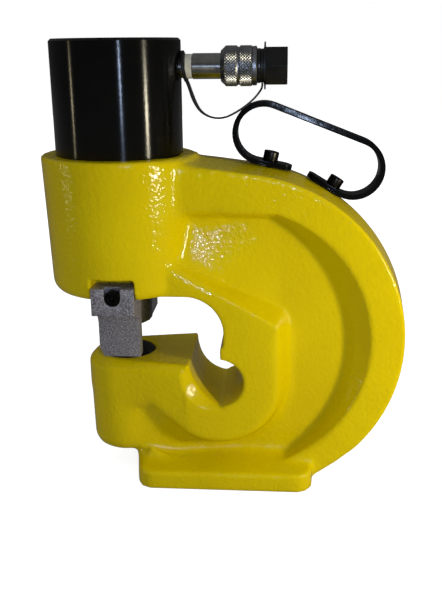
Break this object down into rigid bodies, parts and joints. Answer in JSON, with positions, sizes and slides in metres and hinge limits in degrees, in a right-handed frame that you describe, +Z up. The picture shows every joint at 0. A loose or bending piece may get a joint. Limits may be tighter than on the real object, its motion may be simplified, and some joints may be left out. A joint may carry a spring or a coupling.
{
  "type": "hydraulic hole punch",
  "caption": "Hydraulic hole punch: C-frame casting on a flat base, upright ram cylinder, stripper arms over a die, hose coupler with a tethered dust cap, carry handle on top.",
  "frame": {"origin": "centre of the base's flat underside, which rests on the floor", "axes": "+Z up along the ram and barrel, +X from the open throat back towards the closed side of the C-frame, +Y to the far side in the picture"},
  "size_m": [0.3203, 0.1356, 0.3872],
  "materials": {
    "yellow_enamel": "glossy enamel over cast steel",
    "black_enamel": "satin enamel",
    "machined_steel": "ground",
    "blasted_steel": "blasted",
    "black_oxide_steel": "black oxide",
    "spring_steel": "oiled",
    "hard_chrome": "polished",
    "bright_chrome": "bright plated",
    "bearing_bronze": "machined",
    "seal_rubber": "matte",
    "black_rubber": "smooth",
    "guide_resin": "machined",
    "white_tape": "wound tape",
    "black_cap": "smooth"
  },
  "bodies": {
    "tool": {"frame_casting": "yellow_enamel", "barrel": "black_enamel", "guide_bush": "bearing_bronze", "rod_wiper": "seal_rubber", "return_spring": "spring_steel", "die": "black_oxide_steel", "die_lock_screw": "black_oxide_steel", "stripper_near": "blasted_steel", "stripper_far": "blasted_steel", "stripper_screws": "black_oxide_steel", "carry_handle": "black_enamel", "handle_screws": "black_oxide_steel", "port_nipple": "bright_chrome", "thread_tape": "white_tape", "tether_eye": "black_rubber", "coupler_body": "bright_chrome", "coupler_seal": "seal_rubber", "poppet_spring": "spring_steel", "cap_tether": "black_rubber"},
    "ram": {"piston": "machined_steel", "piston_seal": "seal_rubber", "guide_ring": "guide_resin", "ram_rod": "hard_chrome", "punch_nut": "black_oxide_steel", "punch": "machined_steel"},
    "collar": {"coupler_collar": "bright_chrome", "collar_clip": "spring_steel"},
    "cap": {"dust_cap": "black_cap", "cap_ring": "black_rubber"},
    "poppet": {"coupler_poppet": "machined_steel"}
  },
  "joints": [
    {"name": "ram_stroke", "type": "slide", "parent": "tool", "child": "ram", "axis": [0, 0, -1], "range_m": [0, 0.02], "stiffness_N_per_m": 12000, "springref_m": -0.036, "deforming": ["return_spring"]},
    {"name": "collar_spin", "type": "hinge", "parent": "tool", "child": "collar", "pos_m": [0.0115, 0, 0.3642], "axis": [1, 0, 0], "continuous": true},
    {"name": "cap_pull", "type": "slide", "parent": "tool", "child": "cap", "axis": [1, 0, 0], "range_m": [0, 0.024], "deforming": ["cap_tether"]},
    {"name": "poppet_slide", "type": "slide", "parent": "tool", "child": "poppet", "axis": [-1, 0, 0], "range_m": [0, 0.003], "stiffness_N_per_m": 600, "springref_m": -0.004, "deforming": ["poppet_spring"]}
  ]
}
